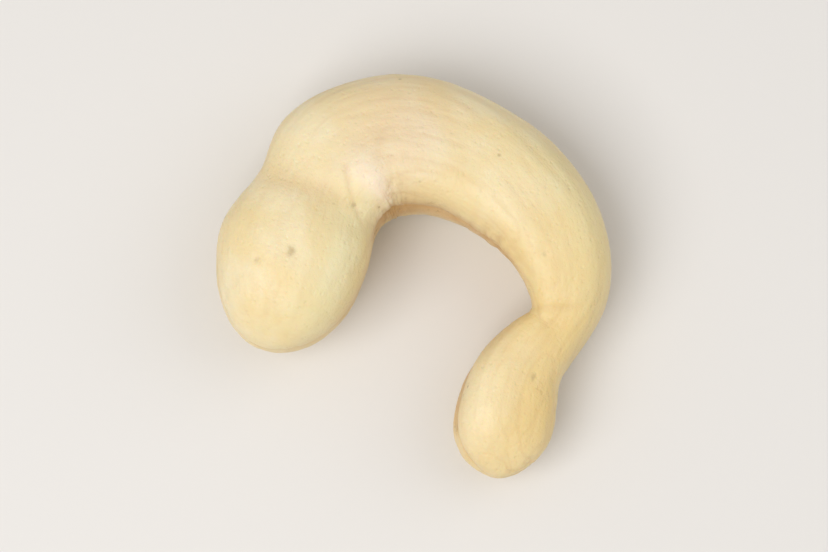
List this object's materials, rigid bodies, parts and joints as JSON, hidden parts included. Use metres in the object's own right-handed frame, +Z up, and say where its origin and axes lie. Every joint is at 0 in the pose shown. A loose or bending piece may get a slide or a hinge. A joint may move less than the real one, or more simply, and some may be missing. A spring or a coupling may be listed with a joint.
{
  "type": "cashew kernel",
  "caption": "Peeled ivory cashew kernel, a thick crescent with a fat lobe, an arched back and a slimmer tail, lying on its cheek.",
  "frame": {"origin": "on the surface that the kernel lies on, under the middle of its box", "axes": "+X along the kernel's longest way, from the fat lobe to the tail; +Y towards the arched back; +Z up, from the cheek that it lies on to the other cheek"},
  "size_m": [0.028, 0.024, 0.011],
  "materials": {
    "kernel_flesh": "smooth dry nut flesh with a faint oily sheen, ivory to pale yellow, tan in the seams"
  },
  "bodies": {
    "root": {"cashew_kernel": "kernel_flesh"}
  },
  "joints": []
}
